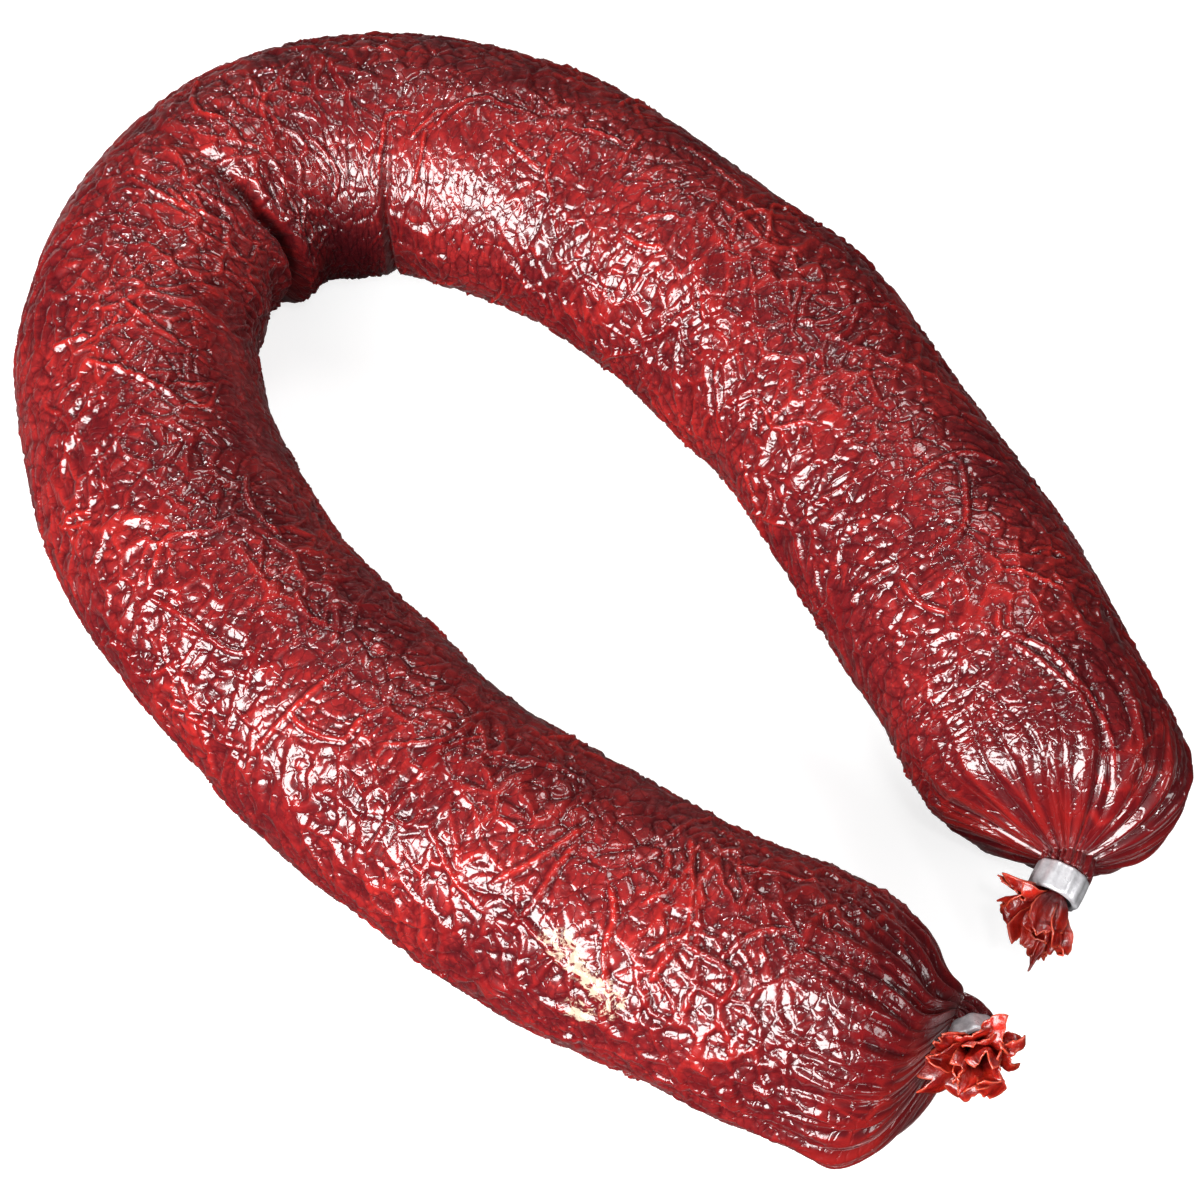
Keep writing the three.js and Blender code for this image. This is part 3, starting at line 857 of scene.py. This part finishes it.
def place_of(nodes, links, name, stretch, warp_scale, warp):
    """Coordinates on the unrolled skin, stretched and wandering."""
    node = nodes.new("ShaderNodeAttribute")
    node.attribute_name = name
    scaled = nodes.new("ShaderNodeVectorMath")
    scaled.operation = "MULTIPLY"
    scaled.inputs[1].default_value = stretch
    links.new(node.outputs["Vector"], scaled.inputs[0])
    waves = nodes.new("ShaderNodeTexNoise")
    waves.inputs["Scale"].default_value = warp_scale
    waves.inputs["Detail"].default_value = 2.0
    links.new(node.outputs["Vector"], waves.inputs["Vector"])
    moved = nodes.new("ShaderNodeVectorMath")
    moved.operation = "MULTIPLY_ADD"
    moved.inputs[1].default_value = (warp, warp, warp)
    links.new(waves.outputs["Color"], moved.inputs[0])
    links.new(scaled.outputs["Vector"], moved.inputs[2])
    return moved.outputs["Vector"]


def meat_colour(nodes, links, place, lines):
    """Colour of the casing: cloudy reds, painted shade along thin lines and in grooves, red cords, painted
    shade towards the ends and in the hollow.
    """
    broad = noise(nodes, links, place, 60, 3.0)
    medium = noise(nodes, links, place, 480, 4.0, 0.6)
    fine = noise(nodes, links, place, 1300, 3.0, 0.6)
    clouds = remap(nodes, links, broad, 0.38, 0.62)
    colour = blend_colour(nodes, links, clouds, MEAT_DARK, MEAT_RED)
    red_cords = remap(nodes, links, broad, 0.45, 0.62)
    cord_colour = blend_colour(nodes, links, red_cords, CORD_DARK, CORD_RED)
    layers = [
        (remap(nodes, links, medium, 0.50, 0.68, 0.0, 0.7), PATCH_DARK),
        (remap(nodes, links, medium, 0.48, 0.30, 0.0, 0.6), PATCH_BRIGHT),
        (remap(nodes, links, fine, 0.60, 0.75, 0.0, 0.4), FLECK),
        # Painted shade along the thin crease lines
        (remap(nodes, links, lines, 0.06, 0.01, 0.0, 0.45), PAINTED_CREASE_SHADE),
        # Painted shade in grooves, creases, pleat gaps and beside cords
        (remap(nodes, links, attribute(nodes, "groove"), 0.0, 1.0, 0.0, 0.8), PAINTED_CREASE_SHADE),
        # Painted shade on the shoulders towards both ends
        (remap(nodes, links, attribute(nodes, "gathered"), 0.05, 0.9, 0.0, 0.75), PAINTED_END_SHADE),
        (remap(nodes, links, attribute(nodes, "cord"), 0.2, 0.9, 0.0, 0.8), cord_colour),
        # Painted shade in the hollow between the folds
        (remap(nodes, links, attribute(nodes, "hollow"), 0.1, 0.8, 0.0, 0.88), PAINTED_HOLLOW_SHADE),
    ]
    for share, over in layers:
        colour = blend_colour(nodes, links, share, colour, over)
    return colour, medium


def fine_height(nodes, links, place, lines):
    """Height of the finest relief, in millimetres: thin lines, small beads and grain."""
    between_lines = remap(nodes, links, lines, 0.0, 0.08, 0.0, 0.045)
    beads = voronoi(nodes, links, place, 850, "F1")
    chosen = remap(nodes, links, beads["Color"], 0.62, 0.66)
    bead = remap(nodes, links, beads["Distance"], 0.34, 0.0, 0.0, 0.09)
    bead = arithmetic(nodes, links, "MULTIPLY", bead, chosen)
    grain = arithmetic(nodes, links, "MULTIPLY", noise(nodes, links, place, 2400, 2.0), 0.022)
    height = arithmetic(nodes, links, "ADD", between_lines, bead)
    return arithmetic(nodes, links, "ADD", height, grain)


def casing_material():
    material, nodes, links, surface = shade("casing")
    place = nodes.new("ShaderNodeTexCoord").outputs["Object"]
    slanted = place_of(nodes, links, "unrolled", (1.0, 0.62, 0.62), 400, 0.0018)
    lines = voronoi(nodes, links, slanted, 520, "DISTANCE_TO_EDGE")["Distance"]
    colour, medium = meat_colour(nodes, links, place, lines)
    fibres = remap(nodes, links, noise(nodes, links, place, 420, 4.0, 0.7, 1.5), 0.40, 0.62, 0.1, 1.9)
    powder = arithmetic(nodes, links, "MULTIPLY", attribute(nodes, "bloom"), fibres)
    powder = remap(nodes, links, powder, 0.45, 0.8, 0.0, 0.9)
    links.new(blend_colour(nodes, links, powder, colour, BLOOM), surface.inputs["Base Color"])
    links.new(remap(nodes, links, medium, 0.3, 0.7, 0.26, 0.36), surface.inputs["Roughness"])
    links.new(remap(nodes, links, powder, 0.0, 0.9, 0.95, 0.15), surface.inputs["Coat Weight"])
    haze = remap(nodes, links, attribute(nodes, "hollow"), 0.1, 0.7, 0.22, 0.04)
    links.new(haze, surface.inputs["Sheen Weight"])
    surface.inputs["Specular IOR Level"].default_value = 0.2
    surface.inputs["Sheen Roughness"].default_value = 0.3
    surface.inputs["Sheen Tint"].default_value = (1.0, 0.72, 0.72, 1)
    surface.inputs["Coat Roughness"].default_value = 0.09
    surface.inputs["Coat IOR"].default_value = 1.5
    normal = bump(nodes, links, fine_height(nodes, links, place, lines), MM, 1.0)
    links.new(normal, surface.inputs["Normal"])
    links.new(normal, surface.inputs["Coat Normal"])
    return material


def tail_material():
    material, nodes, links, surface = shade("tail_film")
    place = nodes.new("ShaderNodeTexCoord").outputs["Object"]
    streak = remap(nodes, links, noise(nodes, links, place, 420, 4.0, 0.6), 0.38, 0.62)
    colour = blend_colour(nodes, links, streak, FILM_DARK, FILM_RED)
    # Painted shade in the valleys of the film's folds
    folds = remap(nodes, links, attribute(nodes, "fold"), -0.8, 0.5, 0.6, 0.0)
    colour = blend_colour(nodes, links, folds, colour, FILM_FOLD_SHADE)
    # Painted shade towards the root of the petals
    beyond_root = remap(nodes, links, attribute(nodes, "edge"), 0.15, 0.6)
    colour = blend_colour(nodes, links, beyond_root, FILM_ROOT_SHADE, colour)
    rims = remap(nodes, links, attribute(nodes, "rim"), 0.4, 1.0, 0.0, 0.42)
    colour = blend_colour(nodes, links, rims, colour, FILM_RIM)
    links.new(colour, surface.inputs["Base Color"])
    surface.inputs["Roughness"].default_value = 0.28
    surface.inputs["Coat Weight"].default_value = 0.5
    surface.inputs["Coat Roughness"].default_value = 0.12
    surface.inputs["Subsurface Weight"].default_value = 0.3
    surface.inputs["Subsurface Radius"].default_value = (1.0, 0.3, 0.15)
    surface.inputs["Subsurface Scale"].default_value = 0.002
    wrinkle = noise(nodes, links, place, 900, 5.0, 0.6, 0.6)
    links.new(bump(nodes, links, wrinkle, 0.4 * MM, 0.6), surface.inputs["Normal"])
    return material


def clip_material():
    material, nodes, links, surface = shade("clip_metal")
    place = nodes.new("ShaderNodeTexCoord").outputs["Object"]
    scuffs = noise(nodes, links, place, 700, 4.0, 0.6)
    dull = remap(nodes, links, scuffs, 0.35, 0.7)
    colour = blend_colour(nodes, links, dull, METAL_LIGHT, METAL_DULL)
    links.new(colour, surface.inputs["Base Color"])
    surface.inputs["Metallic"].default_value = 0.55
    links.new(remap(nodes, links, scuffs, 0.3, 0.7, 0.26, 0.42), surface.inputs["Roughness"])
    dents = noise(nodes, links, place, 1800, 3.0)
    links.new(bump(nodes, links, dents, 0.05 * MM, 0.4), surface.inputs["Normal"])
    return material


# Pieces

casing = sausage_piece()
casing.data.materials.append(casing_material())
pieces = [casing]
film = tail_material()
for end, word in ((NEAR, "near"), (FAR, "far")):
    tail = tail_piece(end, f"tail_{word}")
    tail.data.materials.append(film)
    pieces.append(tail)
for piece in pieces:
    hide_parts("sausage")
    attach(piece, "root")
metal = clip_material()
for end, node in ((NEAR, "clip_near"), (FAR, "clip_far")):
    band = clip_piece(end, f"{node}_band")
    band.data.materials.append(metal)
    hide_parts(node)
    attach(band, "root")

# Floor, light and camera

FLOOR_SIZE = 40.0
FLOOR_GREY = 0.45
FLOOR_GLOW = 0.74
WORLD_STRENGTH = 0.46
LIGHT_TARGET = (0.0, 0.0, 0.02)

# Lights: azimuth and elevation in degrees, distance and sides in metres, watts
LIGHTS = [
    ("key", -38, 30, 0.9, (0.96, 0.46), 27.0),
    ("back", 150, 58, 1.1, (0.32, 0.28), 2.8),
    ("right", 55, 28, 1.0, (0.5, 0.18), 2.2),
    ("spark_front", 15, 64, 1.0, (0.08, 0.08), 1.5),
    ("spark_back", 205, 40, 1.0, (0.08, 0.08), 1.5),
]


def floor_piece():
    mesh = bpy.data.meshes.new("floor")
    half = FLOOR_SIZE / 2
    corners = [(-half, -half, 0), (half, -half, 0), (half, half, 0), (-half, half, 0)]
    mesh.from_pydata(corners, [], [(0, 1, 2, 3)])
    plane = bpy.data.objects.new("floor", mesh)
    bpy.context.scene.collection.objects.link(plane)
    material, _, _, surface = shade("floor")
    surface.inputs["Base Color"].default_value = (FLOOR_GREY, FLOOR_GREY, FLOOR_GREY, 1)
    surface.inputs["Emission Color"].default_value = WHITE
    surface.inputs["Emission Strength"].default_value = FLOOR_GLOW
    surface.inputs["Roughness"].default_value = 0.9
    surface.inputs["Specular IOR Level"].default_value = 0.0
    mesh.materials.append(material)
    plane.visible_glossy = False
    plane.visible_diffuse = False


def softbox(name, azimuth, elevation, distance, size, power):
    """An oblong light aimed at the ring; azimuth 0 is the camera's side, growing to its right."""
    data = bpy.data.lights.new(name, "AREA")
    data.shape = "RECTANGLE"
    data.size, data.size_y = size
    data.energy = power
    lamp = bpy.data.objects.new(name, data)
    bpy.context.scene.collection.objects.link(lamp)
    turn = math.atan2(CAMERA_OFFSET[1], CAMERA_OFFSET[0]) + math.radians(azimuth)
    rise = math.radians(elevation)
    direction = Vector((math.cos(turn) * math.cos(rise), math.sin(turn) * math.cos(rise), math.sin(rise)))
    lamp.location = Vector(LIGHT_TARGET) + direction * distance
    lamp.rotation_euler = direction.to_track_quat("Z", "Y").to_euler()


floor_piece()
for light in LIGHTS:
    softbox(*light)

world = bpy.data.worlds.new("studio")
bpy.context.scene.world = world
world.use_nodes = True
background = world.node_tree.nodes["Background"]
background.inputs["Color"].default_value = WHITE
background.inputs["Strength"].default_value = WORLD_STRENGTH
world.cycles_visibility.glossy = False

view = bpy.context.scene.view_settings
view.view_transform = "Standard"
view.look = "None"

data = bpy.data.cameras.new("camera")
data.lens = CAMERA_LENS
data.sensor_width = SENSOR
camera = bpy.data.objects.new("camera", data)
bpy.context.scene.collection.objects.link(camera)
offset = Vector(CAMERA_OFFSET)
camera.location = (Vector(CAMERA_TARGET) + offset) * MM
camera.rotation_euler = offset.to_track_quat("Z", "Y").to_euler()
bpy.context.scene.camera = camera
